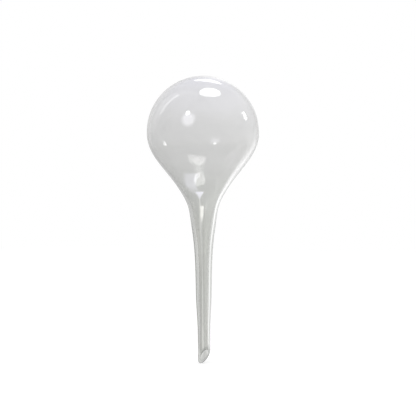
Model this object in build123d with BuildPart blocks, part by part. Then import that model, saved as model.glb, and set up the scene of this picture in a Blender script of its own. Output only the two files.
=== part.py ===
from build123d import *
import math
import os

os.makedirs("parts", exist_ok=True)

# Watering globe, in millimetres. The axis is Z: the stem's tip is at zero and the bulb is at the top.
# The mouth of the stem is cut at a slant and faces +Y.

# Shank: the straight end of the stem, with the mouth
BORE_DIAMETER = 7.0
TIP_WALL = 2.0
SHANK_LENGTH = 24.0
MOUTH_SLANT = 52.0  # degrees from level
RIM_ROUND = 0.45  # the edges of the mouth are melted smooth

# Stem above the shank: outside diameter and wall at each station, and the rise from the station below
LOWER_STEM_RISE = 30.0
LOWER_STEM_DIAMETER = 13.6
LOWER_STEM_WALL = 2.9
UPPER_STEM_RISE = 36.0
UPPER_STEM_DIAMETER = 15.3
UPPER_STEM_WALL = 3.1

# Joint where the stem is fused to the bulb's neck
JOINT_RISE = 28.0
JOINT_DIAMETER = 20.4
JOINT_WALL = 3.2
JOINT_FLARE = 8.6  # degrees from the axis

# Funnel neck and underside of the bulb
THROAT_RISE = 23.5
THROAT_DIAMETER = 29.5
THROAT_WALL = 2.7
SHOULDER_RISE = 23.0
SHOULDER_DIAMETER = 58.5
SHOULDER_WALL = 2.3
UNDERSIDE_RISE = 18.2
UNDERSIDE_DIAMETER = 86.5
UNDERSIDE_WALL = 1.9

# Bulb: the upper half is a half sphere
EQUATOR_RISE = 21.55
BULB_DIAMETER = 99.5
BULB_WALL = 1.5

# Heights of the stations
lower_stem_height = SHANK_LENGTH + LOWER_STEM_RISE
upper_stem_height = lower_stem_height + UPPER_STEM_RISE
joint_height = upper_stem_height + JOINT_RISE
throat_height = joint_height + THROAT_RISE
shoulder_height = throat_height + SHOULDER_RISE
underside_height = shoulder_height + UNDERSIDE_RISE
equator_height = underside_height + EQUATOR_RISE

bore_radius = BORE_DIAMETER / 2
shank_radius = bore_radius + TIP_WALL
bulb_radius = BULB_DIAMETER / 2
hollow_radius = bulb_radius - BULB_WALL

# Both pieces share the edges of the joint and the lean of their walls there
joint_outside = Vector(JOINT_DIAMETER / 2, joint_height)
joint_inside = Vector(JOINT_DIAMETER / 2 - JOINT_WALL, joint_height)
joint_lean = Vector(math.sin(math.radians(JOINT_FLARE)), math.cos(math.radians(JOINT_FLARE)))

# Rounding takes this much height off the sharp low corner of the mouth, which then ends at zero
rim_round = min(RIM_ROUND, 0.3 * TIP_WALL)
low_corner = math.radians(90 - MOUTH_SLANT)
rim_loss = rim_round * (1 / math.tan(low_corner / 2) - 1)
mouth_height = shank_radius / math.tan(low_corner) - rim_loss
mouth_normal = (0, -math.cos(low_corner), math.sin(low_corner))
mouth_plane = Plane(origin=(0, 0, mouth_height), x_dir=(1, 0, 0), z_dir=mouth_normal)

# Stem: a drawn tube, straight at the tip and flaring up to the joint
with BuildPart() as stem:
    with BuildSketch(Plane.XZ):
        with BuildLine():
            blank_end = -rim_loss - TIP_WALL
            lower_radius = LOWER_STEM_DIAMETER / 2
            upper_radius = UPPER_STEM_DIAMETER / 2
            bore = Line((bore_radius, blank_end), (bore_radius, SHANK_LENGTH))
            Spline(
                bore @ 1,
                (lower_radius - LOWER_STEM_WALL, lower_stem_height),
                (upper_radius - UPPER_STEM_WALL, upper_stem_height),
                joint_inside,
                tangents=[(0, 1), joint_lean],
            )
            Line(joint_inside, joint_outside)
            Spline(
                joint_outside,
                (upper_radius, upper_stem_height),
                (lower_radius, lower_stem_height),
                (shank_radius, SHANK_LENGTH),
                tangents=[-joint_lean, (0, -1)],
            )
            Polyline((shank_radius, SHANK_LENGTH), (shank_radius, blank_end), bore @ 0)
        make_face()
    revolve(axis=Axis.Z)
    # The mouth is cut off at a slant, then its two edges are rounded
    split(bisect_by=mouth_plane, keep=Keep.TOP)
    mouth = stem.faces().filter_by(GeomType.PLANE).sort_by(Axis.Z)[0]
    fillet(mouth.edges(), rim_round)
stem.part.label = "stem"
export_step(stem.part, "parts/stem.step")

# Globe: the blown bulb, closed at the crown, with the funnel neck drawn down to the joint
with BuildPart() as globe:
    with BuildSketch(Plane.XZ):
        with BuildLine():
            throat = Vector(THROAT_DIAMETER / 2, throat_height)
            shoulder = Vector(SHOULDER_DIAMETER / 2, shoulder_height)
            underside = Vector(UNDERSIDE_DIAMETER / 2, underside_height)
            dome = CenterArc((0, equator_height), bulb_radius, 0, 90)
            outline = Spline(
                dome @ 0,
                underside,
                shoulder,
                throat,
                joint_outside,
                tangents=[(0, -1), -joint_lean],
            )
            Line(joint_outside, joint_inside)
            # Each wall is measured square in from the outline, and the inside runs along it there
            underside_lean = outline.tangent_at(outline.param_at_point(underside))
            shoulder_lean = outline.tangent_at(outline.param_at_point(shoulder))
            throat_lean = outline.tangent_at(outline.param_at_point(throat))
            hollow = CenterArc((0, equator_height), hollow_radius, 0, 90)
            Spline(
                hollow @ 0,
                underside + Vector(underside_lean.Y, -underside_lean.X) * UNDERSIDE_WALL,
                shoulder + Vector(shoulder_lean.Y, -shoulder_lean.X) * SHOULDER_WALL,
                throat + Vector(throat_lean.Y, -throat_lean.X) * THROAT_WALL,
                joint_inside,
                tangents=[(0, -1), underside_lean, shoulder_lean, throat_lean, -joint_lean],
            )
            Line(hollow @ 1, dome @ 1)
        make_face()
    revolve(axis=Axis.Z)
globe.part.label = "globe"
export_step(globe.part, "parts/globe.step")
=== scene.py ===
import math

import bmesh
import bpy
from mathutils import Matrix, Vector


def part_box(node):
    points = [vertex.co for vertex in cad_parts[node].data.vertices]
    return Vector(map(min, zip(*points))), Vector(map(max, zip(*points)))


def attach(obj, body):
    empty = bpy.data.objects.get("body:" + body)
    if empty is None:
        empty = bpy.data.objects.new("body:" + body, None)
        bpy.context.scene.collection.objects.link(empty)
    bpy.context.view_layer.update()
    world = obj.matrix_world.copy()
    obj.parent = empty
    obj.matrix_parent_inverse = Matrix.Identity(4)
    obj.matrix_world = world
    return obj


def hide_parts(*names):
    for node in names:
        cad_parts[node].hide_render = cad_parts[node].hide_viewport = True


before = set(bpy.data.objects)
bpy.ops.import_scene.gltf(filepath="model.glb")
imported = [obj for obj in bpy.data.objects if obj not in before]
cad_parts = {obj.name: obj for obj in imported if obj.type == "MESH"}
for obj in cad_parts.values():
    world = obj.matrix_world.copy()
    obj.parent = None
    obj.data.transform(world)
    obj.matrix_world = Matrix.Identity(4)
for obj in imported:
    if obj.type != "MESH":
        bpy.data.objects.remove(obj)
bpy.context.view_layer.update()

# The globe: the blown bulb with its funnel neck, in thin clear glass that thickens towards the neck.
# Globe and stem are one run of glass, fused hot, so both are cut from one blank and meet flush at the joint.
# The blank's outline is a Bezier curve from the crown down past the tip, spun about the axis.
bulb_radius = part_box("globe")[1].x
crown_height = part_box("globe")[1].z
joint_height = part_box("stem")[1].z
equator_height = crown_height - bulb_radius
round_handle = 0.5523 * bulb_radius  # makes a quarter circle of one Bezier piece
shank_radius = 0.0055
shank_top = 0.024
blank_end = -0.004
# radius, height, lean of the wall from the axis in degrees, handle above and handle below, in metres
stations = [
    (0.0, crown_height, -90.0, round_handle, round_handle),
    (bulb_radius, equator_height, 0.0, round_handle, 0.00878),
    (0.04325, 0.1827, 32.1, 0.00720, 0.00735),
    (0.02925, 0.1645, 38.15, 0.00804, 0.00924),
    (0.01475, 0.1415, 22.16, 0.00761, 0.00646),
    (0.0102, joint_height, 8.6, 0.01317, 0.00956),
    (0.00765, 0.090, 2.36, 0.00900, 0.01224),
    (0.0068, 0.054, 2.47, 0.01188, 0.00961),
    (shank_radius, shank_top, 0.0, 0.01081, 0.008),
    (shank_radius, blank_end, 0.0, 0.008, 0.008),
]
bpy.ops.object.select_all(action="DESELECT")
bpy.ops.curve.primitive_bezier_curve_add(location=(0, 0, 0))
outline = bpy.context.object
outline.data.dimensions = "3D"
outline.data.resolution_u = 28
spline = outline.data.splines[0]
spline.bezier_points.add(len(stations) - 2)
for point, (radius, height, lean, above, below) in zip(spline.bezier_points, stations):
    along = Vector((math.sin(math.radians(lean)), 0, math.cos(math.radians(lean))))
    point.handle_left_type = "FREE"
    point.handle_right_type = "FREE"
    point.co = (radius, 0, height)
    point.handle_left = point.co + along * above
    point.handle_right = point.co - along * below
bpy.ops.object.convert(target="MESH")
blank = bpy.context.object


def select_points(piece, wanted):
    """Select only the wanted points of a piece that is in edit mode."""
    bpy.ops.mesh.select_all(action="DESELECT")
    mesh = bmesh.from_edit_mesh(piece.data)
    for point in mesh.verts:
        point.select = wanted(point)
    mesh.select_flush(True)
    bmesh.update_edit_mesh(piece.data)


# The shank is straight, so its part of the outline is one long edge, which leaves room to round the mouth
row_gap = 0.0001  # less than the rows of points lie apart
bpy.ops.object.mode_set(mode="EDIT")
bpy.ops.mesh.select_mode(type="VERT")
select_points(blank, lambda point: blank_end + row_gap < point.co.z < shank_top - row_gap)
bpy.ops.mesh.delete(type="VERT")
select_points(blank, lambda point: point.co.z < shank_top + row_gap)
bpy.ops.mesh.edge_face_add()

spin_steps = 288
bpy.ops.mesh.select_all(action="SELECT")
bpy.ops.mesh.spin(steps=spin_steps, angle=math.tau, center=(0, 0, 0), axis=(0, 0, 1))
bpy.ops.mesh.select_all(action="SELECT")
bpy.ops.mesh.remove_doubles(threshold=1e-6)
bpy.ops.mesh.normals_make_consistent(inside=False)
bpy.ops.object.mode_set(mode="OBJECT")

# The wall, as a share of its greatest thickness, grows from the crown to the neck and thins to the tip
thickest_wall = 0.0032
wall_by_height = [
    (-0.006, 0.00200), (0.024, 0.00200), (0.054, 0.00290), (0.090, 0.00310), (0.118, 0.00320),
    (0.1415, 0.00270), (0.152, 0.00230), (0.1645, 0.00220), (0.1827, 0.00190), (0.192, 0.00170),
    (0.204, 0.00190), (0.216, 0.00175), (0.256, 0.00140),
]


def wall_at(height):
    """Wall thickness at a height, on a smooth curve through the stations."""
    last = len(wall_by_height) - 1
    at = max(i for i in range(last) if wall_by_height[i][0] <= height)

    def slope(i):
        low, high = wall_by_height[max(i - 1, 0)], wall_by_height[min(i + 1, last)]
        return (high[1] - low[1]) / (high[0] - low[0])

    (low, low_wall), (high, high_wall) = wall_by_height[at], wall_by_height[at + 1]
    run = high - low
    t = (height - low) / run
    start = (1 + 2 * t) * (1 - t) ** 2 * low_wall + t * (1 - t) ** 2 * run * slope(at)
    return start + t * t * (3 - 2 * t) * high_wall + t * t * (t - 1) * run * slope(at + 1)


wall_group = blank.vertex_groups.new(name="wall")
for vertex in blank.data.vertices:
    wall_group.add([vertex.index], wall_at(vertex.co.z) / thickest_wall, "REPLACE")
thicken = blank.modifiers.new("wall", "SOLIDIFY")
thicken.thickness = thickest_wall
thicken.offset = -1
thicken.vertex_group = "wall"
thicken.use_rim = False
bpy.ops.object.modifier_apply(modifier="wall")

# Copy the blank for the stem, then cut the globe off it at the joint and close the cut wall
bpy.ops.object.duplicate()
stem = bpy.context.object
stem.name = "stem_glass"
bpy.ops.object.select_all(action="DESELECT")
globe = blank
globe.name = "globe_glass"
globe.select_set(True)
bpy.context.view_layer.objects.active = globe


def cut_and_close(piece, cut_place, keep_side):
    """Cut a piece flat at a place, keep the side the normal points to, and bridge the wall's two edges."""
    on_cut = 2e-6
    crowded = 0.00006
    bpy.ops.object.mode_set(mode="EDIT")
    bpy.ops.mesh.select_mode(type="VERT")
    bpy.ops.mesh.select_all(action="SELECT")
    bpy.ops.mesh.bisect(plane_co=cut_place, plane_no=keep_side, clear_inner=True, threshold=1e-7)
    select_points(
        piece,
        lambda point: point.is_boundary and abs((point.co - cut_place).dot(keep_side)) < on_cut,
    )
    bpy.ops.mesh.remove_doubles(threshold=crowded)
    bpy.ops.mesh.select_mode(type="EDGE")
    bpy.ops.mesh.bridge_edge_loops()
    bpy.ops.mesh.select_all(action="SELECT")
    bpy.ops.mesh.normals_make_consistent(inside=False)
    bpy.ops.object.mode_set(mode="OBJECT")


up = Vector((0, 0, 1))
sharp_angle = math.radians(60)
cut_and_close(globe, up * joint_height, up)
bpy.ops.object.shade_smooth_by_angle(angle=sharp_angle)

# Clear glass, faintly grey-green in the stem and almost colourless at the crown
clear_glass = bpy.data.materials.new("clear_glass")
clear_glass.use_nodes = True
glass = clear_glass.node_tree
shader = glass.nodes["Principled BSDF"]
shader.inputs["Roughness"].default_value = 0.0
shader.inputs["IOR"].default_value = 1.52
shader.inputs["Transmission Weight"].default_value = 1.0


def number(tree, operation, first, second=None, third=None, clamp=False):
    """A math node: each operand is a number or a socket."""
    node = tree.nodes.new("ShaderNodeMath")
    node.operation = operation
    node.use_clamp = clamp
    for socket, given in zip(node.inputs, (first, second, third)):
        if isinstance(given, (int, float)):
            socket.default_value = given
        elif given is not None:
            tree.links.new(given, socket)
    return node.outputs["Value"]


def component(tree, vector, direction):
    """How far a vector reaches in a direction."""
    node = tree.nodes.new("ShaderNodeVectorMath")
    node.operation = "DOT_PRODUCT"
    node.inputs[1].default_value = direction
    tree.links.new(vector, node.inputs[0])
    return node.outputs["Value"]


def between(tree, measure, start, end, low=0.0, high=1.0, smooth=False):
    """A number that runs from low to high while a measure runs from start to end."""
    node = tree.nodes.new("ShaderNodeMapRange")
    node.interpolation_type = "SMOOTHSTEP" if smooth else "LINEAR"
    node.inputs["From Min"].default_value = start
    node.inputs["From Max"].default_value = end
    node.inputs["To Min"].default_value = low
    node.inputs["To Max"].default_value = high
    tree.links.new(measure, node.inputs["Value"])
    return node.outputs["Result"]


def ramp_by(tree, measure, stops, interpolation="LINEAR"):
    """A colour ramp over a measure from 0 to 1: each stop is a position and a colour."""
    node = tree.nodes.new("ShaderNodeValToRGB")
    node.color_ramp.interpolation = interpolation
    while len(node.color_ramp.elements) < len(stops):
        node.color_ramp.elements.new(0.5)
    for stop, (position, colour) in zip(node.color_ramp.elements, stops):
        stop.position = position
        stop.color = (*colour, 1)
    tree.links.new(measure, node.inputs["Fac"])
    return node.outputs["Color"]


def scaled(tree, colour, amount):
    """A colour times an amount, which is a number or a socket."""
    node = tree.nodes.new("ShaderNodeVectorMath")
    node.operation = "SCALE"
    tree.links.new(colour, node.inputs[0])
    if isinstance(amount, (int, float)):
        node.inputs["Scale"].default_value = amount
    else:
        tree.links.new(amount, node.inputs["Scale"])
    return node.outputs["Vector"]


def blend_colours(tree, share, first, second):
    """A colour mix node: first and second are colours or sockets."""
    node = tree.nodes.new("ShaderNodeMix")
    node.data_type = "RGBA"
    tree.links.new(share, node.inputs["Factor"])
    for socket, given in zip((node.inputs[6], node.inputs[7]), (first, second)):
        if isinstance(given, tuple):
            socket.default_value = (*given, 1)
        else:
            tree.links.new(given, socket)
    return node.outputs[2]


tint_by_height = [
    (0.000, (0.705, 0.710, 0.690)),
    (0.110, (0.705, 0.710, 0.690)),
    (0.150, (0.735, 0.740, 0.725)),
    (0.185, (0.780, 0.780, 0.775)),
    (0.205, (0.815, 0.815, 0.815)),
    (0.235, (0.868, 0.867, 0.876)),
    (0.254, (0.875, 0.873, 0.898)),
]
tint_stops = [(height / crown_height, colour) for height, colour in tint_by_height]
spot = glass.nodes.new("ShaderNodeTexCoord").outputs["Object"]
height_share = between(glass, component(glass, spot, up), 0.0, crown_height)
tint = ramp_by(glass, height_share, tint_stops, "EASE")

# Painted light and dark streaks run down the neck and stem, where cords left by the drawing show; turns are
# in degrees from the front
front_turn = math.radians(38)
right = Vector((math.cos(front_turn), math.sin(front_turn), 0))
toward = Vector((math.sin(front_turn), -math.cos(front_turn), 0))
forward = component(glass, spot, toward)
on_front = number(glass, "GREATER_THAN", forward, 0.0)
turn_angle = number(glass, "ARCTAN2", component(glass, spot, right), number(glass, "ABSOLUTE", forward))
turn_degrees = number(glass, "DEGREES", turn_angle)
turn_share = number(glass, "MULTIPLY_ADD", turn_degrees, 1 / 180, 0.5)
painted_streak_lines = [
    (-90, 0.50), (-44, 0.50), (-34, 0.55), (-29, 0.52), (-23, 0.50), (-18, 0.50), (-11, 0.68), (-6, 0.50),
    (2, 0.42), (8, 0.50), (15, 0.58), (21, 0.50), (28, 0.44), (36, 0.50), (90, 0.50),
]
painted_streak_stops = [(turn / 180 + 0.5, (level, level, level)) for turn, level in painted_streak_lines]
painted_streak_ramp = ramp_by(glass, turn_share, painted_streak_stops, "EASE")
painted_streak_strength = 0.45
painted_streak_level = number(glass, "MULTIPLY_ADD", painted_streak_ramp, painted_streak_strength, -painted_streak_strength / 2)
painted_streak_height = ramp_by(glass, height_share, [(0.0, (1, 1, 1)), (0.40, (1, 1, 1)), (0.54, (0, 0, 0))])
painted_streak_amount = number(glass, "MULTIPLY", painted_streak_level, painted_streak_height)

# The glass is a little cloudy all over
cloud = glass.nodes.new("ShaderNodeTexNoise")
cloud.inputs["Scale"].default_value = 55.0
cloud.inputs["Detail"].default_value = 3.0
glass.links.new(spot, cloud.inputs["Vector"])
cloud_strength = 0.05
cloud_amount = number(glass, "MULTIPLY_ADD", cloud.outputs["Fac"], cloud_strength, 1 - cloud_strength / 2)
streaked_glass = scaled(glass, tint, number(glass, "ADD", painted_streak_amount, cloud_amount))


def painted_patch(stops, within=None):
    """Share of a painted patch of light or shade on the glass: each stop is a height, turn, half width in
    degrees and strength.
    """
    turn_range = 240.0
    width_range = 60.0
    edge_gain = 3.0
    coded = []
    for height, turn, width, strength in stops:
        coded.append((height / crown_height, (turn / turn_range + 0.5, width / width_range, strength)))
    parts = glass.nodes.new("ShaderNodeSeparateColor")
    glass.links.new(ramp_by(glass, height_share, coded), parts.inputs["Color"])
    centre = number(glass, "MULTIPLY_ADD", parts.outputs["Red"], turn_range, -turn_range / 2)
    off = number(glass, "ABSOLUTE", number(glass, "SUBTRACT", turn_degrees, centre))
    half = number(glass, "MULTIPLY", parts.outputs["Green"], width_range)
    inside = number(glass, "SUBTRACT", 1.0, number(glass, "DIVIDE", off, half), clamp=True)
    soft = number(glass, "MULTIPLY", inside, edge_gain, clamp=True)
    share = number(glass, "MULTIPLY", soft, parts.outputs["Blue"])
    if within is not None:
        share = number(glass, "MULTIPLY", share, within)
    return share


# Painted highlights, made as clearer glass: a fan and a wedge in the funnel, a line with a drop at its head
# and a side line in the stem, and a painted reflection in a band inside the right edge
fan_highlight = painted_patch([
    (0.1480, -22, 10, 0.0), (0.1520, -26, 15, 0.25), (0.1570, -31, 17, 0.52), (0.1620, -28, 17, 0.45),
    (0.1672, -20, 16, 0.42), (0.1680, -20, 16, 0.0),
])
wedge_highlight = painted_patch([
    (0.1448, -13, 2, 0.3), (0.1465, -12.5, 5.5, 0.7), (0.1512, -11, 15.5, 1.0), (0.1520, -11, 15.5, 0.0),
])
line_highlight = painted_patch([
    (0.0080, -12, 5, 0.0), (0.0160, -12, 6, 1.0), (0.0360, -12, 6, 1.0), (0.0540, -10, 5, 1.0),
    (0.0720, -9, 5, 0.70), (0.0890, -17, 4, 0.55), (0.1040, -18, 4, 0.70), (0.1160, -19, 4, 1.0),
    (0.1300, -16, 3.5, 0.85), (0.1450, -12, 3, 0.60), (0.1465, -12, 2.5, 0.0),
], on_front)
drop_highlight = painted_patch([
    (0.1190, -9, 3, 0.0), (0.1240, -9, 5, 0.35), (0.1300, -9, 10, 1.0), (0.1385, -6, 10, 1.0),
    (0.1396, -6, 9, 0.0),
])
side_line_highlight = painted_patch([
    (0.0080, -29, 12, 0.0), (0.0160, -29, 12, 0.30), (0.0540, -30, 12, 0.30), (0.0700, -34, 9, 0.40),
    (0.0900, -38, 8, 0.80), (0.1080, -39, 8, 1.0), (0.1300, -42, 6, 0.5), (0.1450, -44, 5, 0.0),
], on_front)
right_band_reflection = painted_patch([
    (0.0080, 46, 13, 0.0), (0.0180, 46, 13, 0.85), (0.0900, 47, 11, 0.95), (0.1040, 48, 9, 1.0),
    (0.1180, 52, 10, 1.0), (0.1415, 62, 10, 1.0), (0.1650, 63, 10, 0.90), (0.1827, 63, 10, 0.60),
    (0.2000, 64, 10, 0.0),
], on_front)

# Painted shade at both edges, partly standing for the longer path through the glass: denser glass only where
# light enters at a slant, so that the streaks beside them stay clear
met_side = glass.nodes.new("ShaderNodeNewGeometry")
entering = number(glass, "SUBTRACT", on_front, met_side.outputs["Backfacing"], clamp=True)
slant = glass.nodes.new("ShaderNodeLayerWeight")
grazing = between(glass, slant.outputs["Facing"], 0.3, 0.5)
left_edge_shade = painted_patch([
    (0.0080, -75, 20, 0.0), (0.0180, -75, 20, 1.0), (0.0900, -75, 20, 1.0), (0.1180, -77, 18, 0.90),
    (0.1300, -80, 14, 0.70), (0.1415, -82, 12, 0.55), (0.1570, -83, 12, 0.45), (0.1827, -84, 12, 0.42),
    (0.1970, -85, 12, 0.36), (0.2170, -85, 12, 0.38), (0.2320, -84, 13, 0.38), (0.2460, -83, 13, 0.0),
], entering)
right_edge_shade = painted_patch([
    (0.0080, 84, 16, 0.0), (0.0180, 84, 18, 0.10), (0.0500, 82, 20, 0.10), (0.0720, 82, 20, 0.30),
    (0.0900, 82, 20, 0.50), (0.1180, 84, 18, 0.65), (0.1415, 86, 14, 0.65), (0.1827, 86, 12, 0.45),
    (0.2100, 86, 12, 0.0),
], entering)

# Colours of the painted edge shade, the painted highlights and the painted reflection in the right band
edge_shade_colour = (0.20, 0.21, 0.19)
right_band_white = (0.99, 0.99, 0.99)
funnel_highlight_colour = (0.97, 0.97, 1.0)
stem_highlight_colour = (1.0, 1.0, 0.975)
# The painted edge shade, strongest where the glass is seen at a slant
edges = number(glass, "MULTIPLY", number(glass, "MAXIMUM", left_edge_shade, right_edge_shade), grazing)
funnel_highlights = number(glass, "MAXIMUM", fan_highlight, wedge_highlight)
stem_highlights = number(glass, "MAXIMUM", number(glass, "MAXIMUM", line_highlight, drop_highlight), side_line_highlight)
glass_colour = blend_colours(glass, edges, streaked_glass, edge_shade_colour)
glass_colour = blend_colours(glass, right_band_reflection, glass_colour, right_band_white)
glass_colour = blend_colours(glass, funnel_highlights, glass_colour, funnel_highlight_colour)
glass_colour = blend_colours(glass, stem_highlights, glass_colour, stem_highlight_colour)
glass.links.new(glass_colour, shader.inputs["Base Color"])

# Inside the wall at the joint the glass is continuous, so that face shows nothing
fused = bpy.data.materials.new("fused_joint")
fused.use_nodes = True
fused.node_tree.nodes["Principled BSDF"].inputs["Alpha"].default_value = 0.0


def dress(piece):
    """Give a piece its glass, and its face at the joint the glass that shows nothing."""
    joint_slack = 1e-5
    piece.data.materials.append(clear_glass)
    piece.data.materials.append(fused)
    for face in piece.data.polygons:
        at_joint = abs(face.center.z - joint_height) < joint_slack and abs(face.normal.z) > 0.99
        face.material_index = 1 if at_joint else 0


dress(globe)
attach(globe, "root")
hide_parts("globe")

# The stem: drawn from the same glass and fused to the globe, straight at the end, with a slanted open mouth.
# The two edges of the mouth are melted round in the flame.
mouth_slant = math.radians(52)
rim_round = 0.0009
rim_loss = 0.000476  # rounding takes this much off the low corner
mouth_height = shank_radius * math.tan(mouth_slant) - rim_loss
mouth_middle = up * mouth_height
mouth_normal = Vector((0, math.sin(mouth_slant), -math.cos(mouth_slant)))
bpy.ops.object.select_all(action="DESELECT")
stem.select_set(True)
bpy.context.view_layer.objects.active = stem
cut_and_close(stem, up * joint_height, -up)
cut_and_close(stem, mouth_middle, -mouth_normal)

# At an edge of the mouth one face lies in the cut, and the other leans away from it
bpy.ops.object.mode_set(mode="EDIT")
bpy.ops.mesh.select_all(action="DESELECT")
mesh = bmesh.from_edit_mesh(stem.data)
mesh.normal_update()
for edge in mesh.edges:
    facing = sorted(face.normal.dot(mouth_normal) for face in edge.link_faces)
    edge.select = len(facing) == 2 and facing[1] > 0.999 and facing[0] < 0.95
bmesh.update_edit_mesh(stem.data)
bpy.ops.mesh.bevel(offset=rim_round, offset_type="OFFSET", segments=6, affect="EDGES")
bpy.ops.mesh.select_all(action="SELECT")
bpy.ops.mesh.normals_make_consistent(inside=False)
bpy.ops.object.mode_set(mode="OBJECT")
bpy.ops.object.shade_smooth_by_angle(angle=sharp_angle)
dress(stem)

# Light caught in the melted rim comes out of real glass again, so the rim bends it less here
rim_depth = 0.0012
rim_density = 0.62
melted = clear_glass.copy()
melted.name = "melted_rim"
rim_glass = melted.node_tree
rim_shader = rim_glass.nodes["Principled BSDF"]
rim_shader.inputs["IOR"].default_value = 1.2
rim_colour = scaled(rim_glass, rim_shader.inputs["Base Color"].links[0].from_socket, rim_density)
rim_glass.links.new(rim_colour, rim_shader.inputs["Base Color"])
stem.data.materials.append(melted)
for face in stem.data.polygons:
    if (face.center - mouth_middle).dot(mouth_normal) > -rim_depth:
        face.material_index = 2
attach(stem, "root")
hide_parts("stem")

# The camera: level with the neck and round to the right of the long side of the tip.
# A long lens from far off keeps the outline almost free of perspective.
camera_place = (0.0041, 0.137, 1.3811)
camera_roll = math.radians(0.29)


def steps_from_view(steps):
    """A vector from steps to the right, up and toward the camera."""
    return right * steps[0] + up * steps[1] + toward * steps[2]


bpy.ops.object.camera_add(location=steps_from_view(camera_place))
camera = bpy.context.object
camera.rotation_euler = (math.pi / 2, camera_roll, front_turn)
camera.data.lens = 135
camera.data.sensor_width = 36
bpy.context.scene.camera = camera

# The lamps: soft flat lights round the globe, whose images are the highlights on the bulb.
# Each is placed by steps to the right, up and toward the camera from the bulb's centre.
bulb_centre = up * equator_height


def lamp(name, shape, size, place, radiance, colour=(1, 1, 1), back=None, along=(0, 1, 0)):
    """A flat lamp that the camera doesn't see: its back points away from the bulb unless one is given."""
    data = bpy.data.lights.new(name, "AREA")
    data.shape = shape
    data.size, data.size_y = size
    area = size[0] * size[1] * (math.pi / 4 if shape == "ELLIPSE" else 1)
    data.energy = radiance * math.pi * area
    data.color = colour
    made = bpy.data.objects.new(name, data)
    bpy.context.collection.objects.link(made)
    made.location = bulb_centre + steps_from_view(place)
    away = steps_from_view(back or place).normalized()
    length = steps_from_view(along)
    length = (length - away * length.dot(away)).normalized()
    made.rotation_euler = Matrix((length.cross(away), length, away)).transposed().to_euler()
    made.visible_camera = False


cream = (1.0, 0.995, 0.96)
lilac = (1.0, 0.98, 1.06)
lamp("overhead", "ELLIPSE", (0.160, 0.27), (0.0525, 0.310, 0.071), 4.4, cream, back=(0, 0.538, -0.843))
lamp("right_window", "RECTANGLE", (0.13, 0.18), (0.942, 0.364, -0.207), 9.0)
lamp("left_bulb", "ELLIPSE", (0.032, 0.032), (-0.105, 0.124, 0.172), 9.0)
lamp("left_shade", "ELLIPSE", (0.130, 0.130), (-0.121, 0.091, 0.220), 1.2, lilac)
lamp("left_shade_core", "ELLIPSE", (0.095, 0.095), (-0.122, 0.092, 0.222), 1.4, lilac)
lamp("rear_top", "ELLIPSE", (0.24, 0.12), (0.046, 0.430, -0.300), 1.9)
lamp("left_strip", "RECTANGLE", (0.05, 0.32), (-0.379, 0.3235, -0.0895), 1.0, along=(0.192, 0.247, 0.067))

# The floor: a plain pale board, matt and broad, that the tip touches. It is white to the camera.
# Only the glass shows painted light and shade on it, the tones of the table and of the room round it, by the
# turn from straight behind.
room = bpy.data.node_groups.new("room_light", "ShaderNodeTree")
room.interface.new_socket(name="Direction", in_out="INPUT", socket_type="NodeSocketVector")
room.interface.new_socket(name="Wall", in_out="OUTPUT", socket_type="NodeSocketColor")
room.interface.new_socket(name="Table", in_out="OUTPUT", socket_type="NodeSocketColor")
room.interface.new_socket(name="Near", in_out="OUTPUT", socket_type="NodeSocketColor")
direction = room.nodes.new("NodeGroupInput").outputs["Direction"]
room_tones = room.nodes.new("NodeGroupOutput")
room_turn = number(room, "ARCTAN2", component(room, direction, right), component(room, direction, -toward))
room_share = between(room, room_turn, -math.pi, math.pi)
brightest = 2.0
# Levels by turn: the world's light, and the painted light and shade that the glass sees on the floor
light_by_turn = {
    "Wall": [
        (-180, 0.90), (-120, 0.90), (-85, 0.92), (-62, 0.98), (-40, 0.86), (-25, 0.85), (-16, 0.90),
        (-8, 0.84), (0, 0.98), (6, 1.13), (11, 1.12), (16, 0.95), (24, 0.86), (45, 0.88), (75, 0.86),
        (120, 0.92), (180, 0.90),
    ],
    "Table": [
        (-180, 0.88), (-120, 0.92), (-85, 0.88), (-70, 0.80), (-55, 0.75), (-40, 0.71), (-25, 0.72),
        (-14, 0.76), (-7, 0.84), (0, 0.92), (6, 1.02), (11, 1.08), (16, 1.05), (22, 0.88), (27, 0.95),
        (33, 1.36), (40, 1.42), (47, 1.15), (56, 0.90), (70, 0.85), (95, 0.84), (120, 0.86), (180, 0.88),
    ],
    "Near": [
        (-180, 1.00), (-120, 0.98), (-85, 0.88), (-55, 0.82), (-40, 0.68), (-25, 0.64), (-16, 0.78),
        (-8, 0.95), (0, 1.00), (12, 0.97), (22, 0.88), (27, 0.95), (33, 1.40), (40, 1.55), (47, 1.18),
        (54, 0.88), (65, 0.85), (90, 0.92), (120, 0.92), (180, 1.00),
    ],
}
for name, levels in light_by_turn.items():
    stops = [(degrees / 360 + 0.5, (level / brightest,) * 3) for degrees, level in levels]
    tone = scaled(room, ramp_by(room, room_share, stops), brightest)
    room.links.new(tone, room_tones.inputs[name])


def seen_in_glass(tree, path):
    """One for rays that reach this place by way of the glass."""
    return number(tree, "MAXIMUM", path.outputs["Is Glossy Ray"], path.outputs["Is Transmission Ray"])


def length_of(tree, vector):
    """How long a vector is."""
    node = tree.nodes.new("ShaderNodeVectorMath")
    node.operation = "LENGTH"
    tree.links.new(vector, node.inputs[0])
    return node.outputs["Value"]


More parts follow.
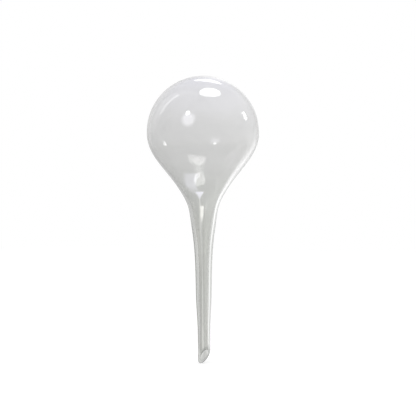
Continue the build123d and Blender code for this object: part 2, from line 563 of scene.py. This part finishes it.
black = (0.0, 0.0, 0.0)
white = (1.0, 1.0, 1.0)
pale_grey = (0.8, 0.8, 0.8)
bpy.ops.mesh.primitive_plane_add(size=6, location=(0, 0, 0))
floor = bpy.context.object
floor.name = "floor"
pale = bpy.data.materials.new("floor")
pale.use_nodes = True
board = pale.node_tree
floor_shader = board.nodes["Principled BSDF"]
floor_shader.inputs["Roughness"].default_value = 1.0
floor_shader.inputs["Specular IOR Level"].default_value = 0.0
floor_shader.inputs["Emission Strength"].default_value = 1.0
floor_path = board.nodes.new("ShaderNodeLightPath")
floor_spot = board.nodes.new("ShaderNodeTexCoord").outputs["Object"]
floor_room = board.nodes.new("ShaderNodeGroup")
floor_room.node_tree = room
board.links.new(floor_spot, floor_room.inputs["Direction"])
in_glass = seen_in_glass(board, floor_path)
floor_colour = blend_colours(board, in_glass, pale_grey, black)
board.links.new(floor_colour, floor_shader.inputs["Base Color"])

# The table's painted light and shade change with the distance from the tip, and far off they fade into the
# wall's tones
floor_reach = length_of(board, floor_spot)
far_off = between(board, floor_reach, 0.5, 0.9)
haze = between(board, floor_reach, 1.0, 3.0, high=0.5)
painted_table_light = blend_colours(board, far_off, floor_room.outputs["Near"], floor_room.outputs["Table"])
painted_table_light = blend_colours(board, haze, painted_table_light, floor_room.outputs["Wall"])

# The stem's own shadow lies on the floor behind the tip
shade_middle = -toward * 0.09
shade_size = (0.012, 0.10, 1)
shade_place = board.nodes.new("ShaderNodeMapping")
shade_place.vector_type = "TEXTURE"
shade_place.inputs["Location"].default_value = shade_middle
shade_place.inputs["Rotation"].default_value = (0, 0, front_turn)
shade_place.inputs["Scale"].default_value = shade_size
board.links.new(floor_spot, shade_place.inputs["Vector"])
shade_reach = length_of(board, shade_place.outputs["Vector"])
painted_table_light = scaled(board, painted_table_light, between(board, shade_reach, 0.6, 1.3, low=0.78, smooth=True))

# A little glow of its own makes the lit floor white to the camera
glow = blend_colours(board, floor_path.outputs["Is Camera Ray"], black, (0.38, 0.38, 0.38))
glow = blend_colours(board, in_glass, glow, painted_table_light)
board.links.new(glow, floor_shader.inputs["Emission Color"])
floor.data.materials.append(pale)

# The surroundings: plain and pale, white to the camera.
# The glass shows the table's tones low down, the wall's tones above them and a cool ceiling.
world = bpy.data.worlds.new("studio")
bpy.context.scene.world = world
world.use_nodes = True
sky = world.node_tree
sky_path = sky.nodes.new("ShaderNodeLightPath")
look = sky.nodes.new("ShaderNodeTexCoord").outputs["Generated"]
sky_room = sky.nodes.new("ShaderNodeGroup")
sky_room.node_tree = room
sky.links.new(look, sky_room.inputs["Direction"])
look_up = component(sky, look, up)
wall_share = between(sky, look_up, -0.066, 0.10, low=0.5, smooth=True)
ceiling_share = between(sky, look_up, 0.45, 0.75, smooth=True)
around = blend_colours(sky, wall_share, sky_room.outputs["Table"], sky_room.outputs["Wall"])
cool_ceiling = (0.95, 0.95, 1.0)
around = blend_colours(sky, ceiling_share, around, cool_ceiling)
seen = blend_colours(sky, seen_in_glass(sky, sky_path), pale_grey, around)
seen = blend_colours(sky, sky_path.outputs["Is Camera Ray"], seen, white)
sky.links.new(seen, sky.nodes["Background"].inputs["Color"])
bpy.context.scene.view_settings.view_transform = "Standard"
